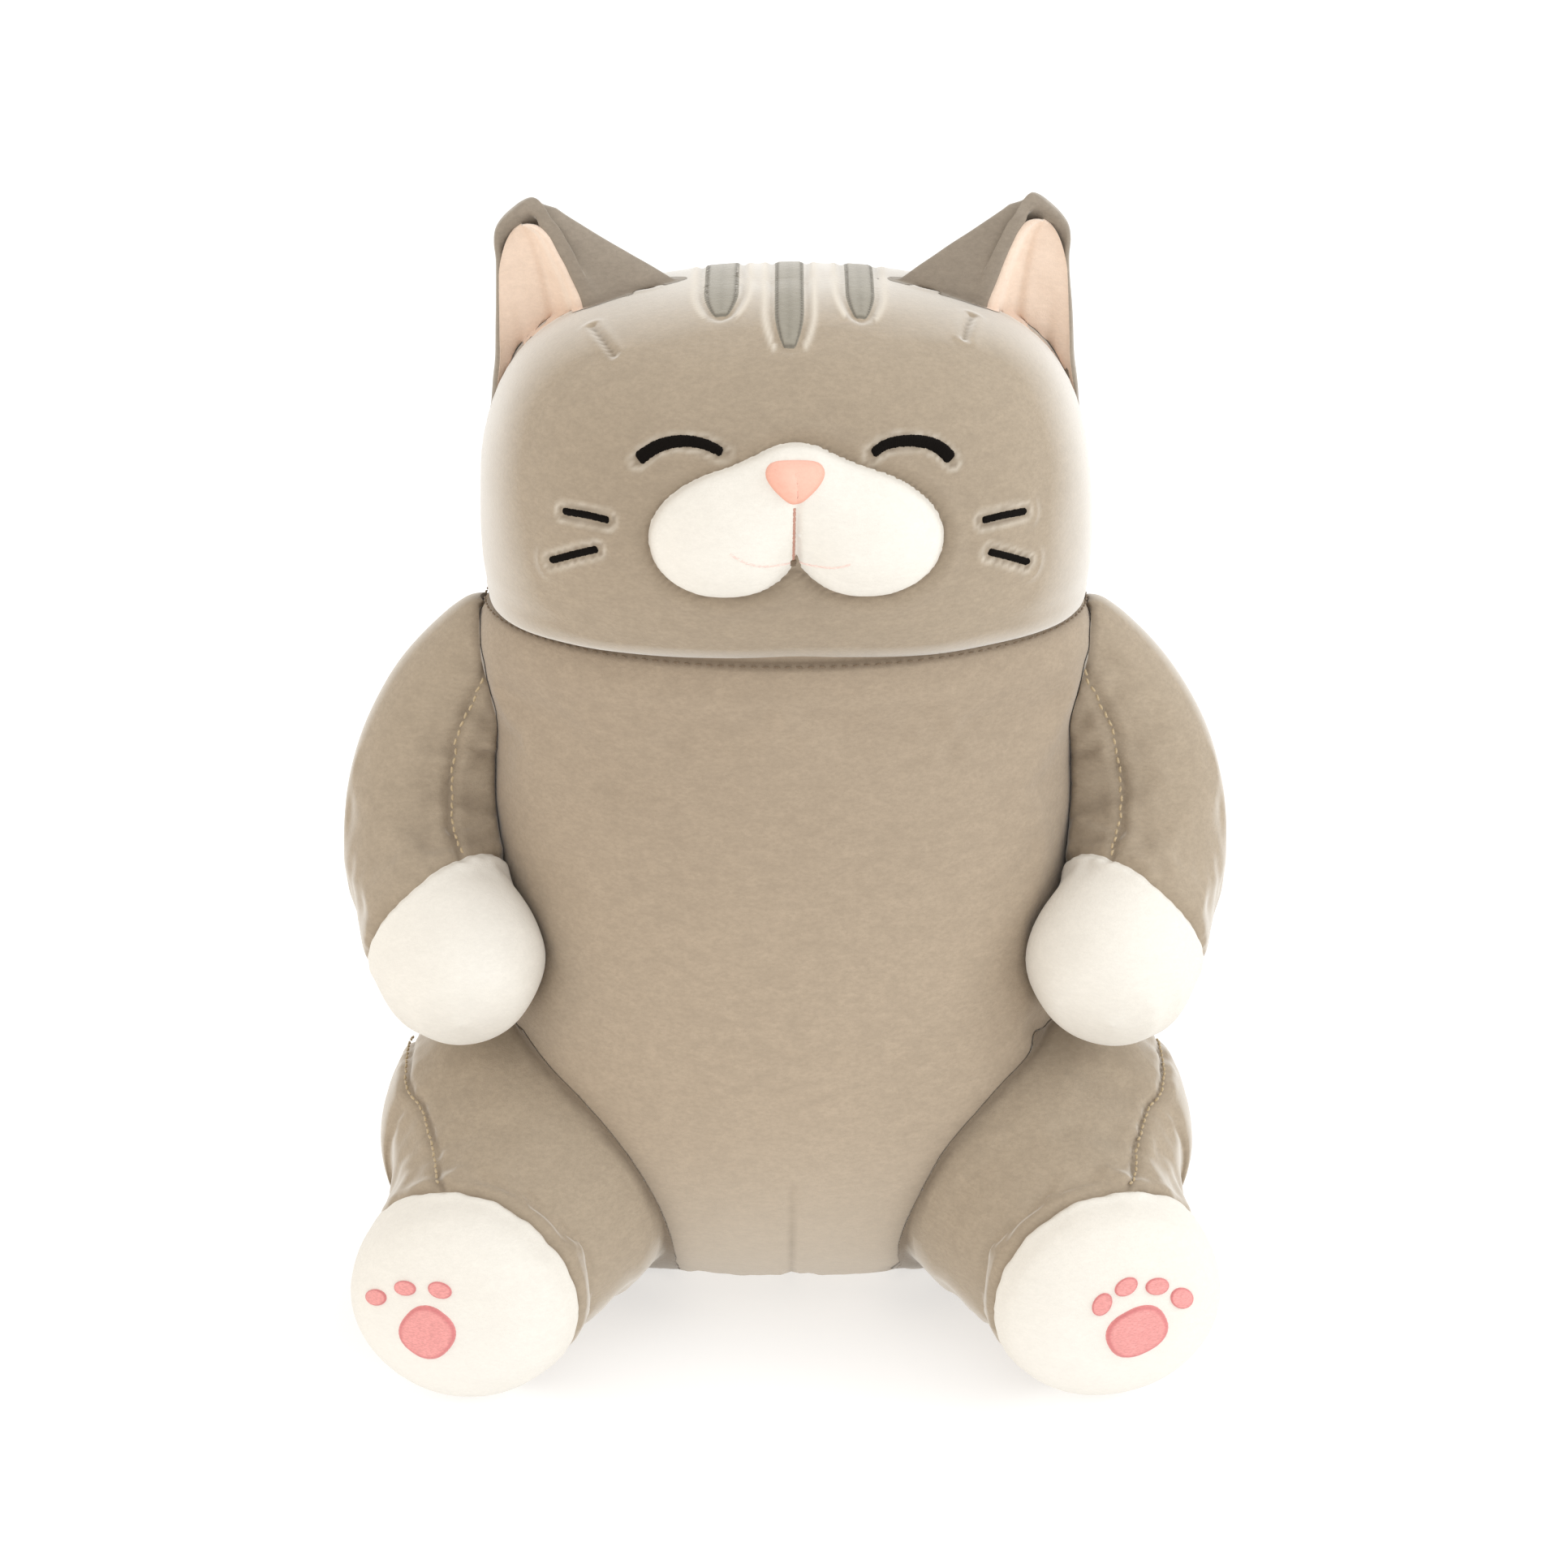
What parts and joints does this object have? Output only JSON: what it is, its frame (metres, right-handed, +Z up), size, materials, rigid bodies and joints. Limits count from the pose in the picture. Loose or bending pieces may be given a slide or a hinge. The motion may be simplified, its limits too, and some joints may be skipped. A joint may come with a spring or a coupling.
{
  "type": "plush toy",
  "caption": "Sitting plush cat with a smiling face, folded ears, stuffed arms and legs, stitched paw prints and a short tail.",
  "frame": {"origin": "centre of the whole cat in plan, at the height of its flat seat", "axes": "+Z up, the cat faces -Y, its own left side is at +X"},
  "size_m": [0.3044, 0.2879, 0.3802],
  "materials": {
    "grey_plush": "short-pile plush, soft sheen",
    "dark_grey_plush": "short-pile plush, set in with stitched edges",
    "white_plush": "short-pile plush",
    "peach_plush": "short-pile plush",
    "pink_thread": "satin-stitch embroidery",
    "black_thread": "satin-stitch embroidery",
    "fibre_filling": "loose polyester fibre",
    "bead_bag": "plain woven bag of plastic beads"
  },
  "bodies": {
    "torso": {"body_back_panel": "grey_plush", "body_filling": "fibre_filling", "body_front_panel": "grey_plush", "seat_bead_bag": "bead_bag", "seat_panel": "grey_plush"},
    "head": {"eye_left": "black_thread", "eye_right": "black_thread", "forehead_stripe_left": "dark_grey_plush", "forehead_stripe_middle": "dark_grey_plush", "forehead_stripe_right": "dark_grey_plush", "head_back_panel": "grey_plush", "head_filling": "fibre_filling", "head_front_panel": "grey_plush", "mouth_line": "pink_thread", "mouth_smile": "pink_thread", "muzzle_filling": "fibre_filling", "muzzle_panel": "white_plush", "nose": "pink_thread", "whisker_lower_left": "black_thread", "whisker_lower_right": "black_thread", "whisker_upper_left": "black_thread", "whisker_upper_right": "black_thread"},
    "ear_left": {"ear_back_panel_left": "grey_plush", "ear_lining_left": "peach_plush"},
    "ear_right": {"ear_back_panel_right": "grey_plush", "ear_lining_right": "peach_plush"},
    "arm_left": {"arm_filling_left": "fibre_filling", "arm_inner_panel_left": "grey_plush", "arm_outer_panel_left": "grey_plush", "mitt_left": "white_plush"},
    "arm_right": {"arm_filling_right": "fibre_filling", "arm_inner_panel_right": "grey_plush", "arm_outer_panel_right": "grey_plush", "mitt_right": "white_plush"},
    "leg_left": {"foot_left": "white_plush", "leg_filling_left": "fibre_filling", "leg_lower_panel_left": "grey_plush", "leg_upper_panel_left": "grey_plush", "paw_pad_left": "pink_thread", "toe_pad_1_left": "pink_thread", "toe_pad_2_left": "pink_thread", "toe_pad_3_left": "pink_thread", "toe_pad_4_left": "pink_thread"},
    "leg_right": {"foot_right": "white_plush", "leg_filling_right": "fibre_filling", "leg_lower_panel_right": "grey_plush", "leg_upper_panel_right": "grey_plush", "paw_pad_right": "pink_thread", "toe_pad_1_right": "pink_thread", "toe_pad_2_right": "pink_thread", "toe_pad_3_right": "pink_thread"},
    "tail": {"tail_filling": "fibre_filling", "tail_panel_left": "grey_plush", "tail_panel_right": "grey_plush"}
  },
  "joints": [
    {"name": "head_nod", "type": "hinge", "parent": "torso", "child": "head", "pos_m": [0, 0, 0.236], "axis": [1, 0, 0], "range_deg": [-8, 8], "stiffness_Nm_per_rad": 2.5},
    {"name": "ear_right_fold", "type": "hinge", "parent": "head", "child": "ear_right", "pos_m": [-0.0697, 0.008, 0.3425], "axis": [0.8127, 0, 0.5828], "range_deg": [-12, 12], "stiffness_Nm_per_rad": 0.06},
    {"name": "ear_left_fold", "type": "hinge", "parent": "head", "child": "ear_left", "pos_m": [0.0697, 0.008, 0.3425], "axis": [0.8127, 0, -0.5828], "range_deg": [-12, 12], "stiffness_Nm_per_rad": 0.06},
    {"name": "arm_right_raise", "type": "hinge", "parent": "torso", "child": "arm_right", "pos_m": [-0.103, 0.004, 0.241], "axis": [0, 1, 0], "range_deg": [0, 40], "stiffness_Nm_per_rad": 0.5},
    {"name": "arm_left_raise", "type": "hinge", "parent": "torso", "child": "arm_left", "pos_m": [0.103, 0.004, 0.241], "axis": [0, -1, 0], "range_deg": [0, 40], "stiffness_Nm_per_rad": 0.5},
    {"name": "leg_right_spread", "type": "hinge", "parent": "torso", "child": "leg_right", "pos_m": [-0.108, 0.028, 0.05], "axis": [0, 0, -1], "range_deg": [0, 20], "stiffness_Nm_per_rad": 1.2},
    {"name": "leg_left_spread", "type": "hinge", "parent": "torso", "child": "leg_left", "pos_m": [0.108, 0.028, 0.05], "axis": [0, 0, 1], "range_deg": [0, 20], "stiffness_Nm_per_rad": 1.2},
    {"name": "tail_lift", "type": "hinge", "parent": "torso", "child": "tail", "pos_m": [0, 0.102, 0.05], "axis": [1, 0, 0], "range_deg": [0, 45], "stiffness_Nm_per_rad": 0.12}
  ]
}
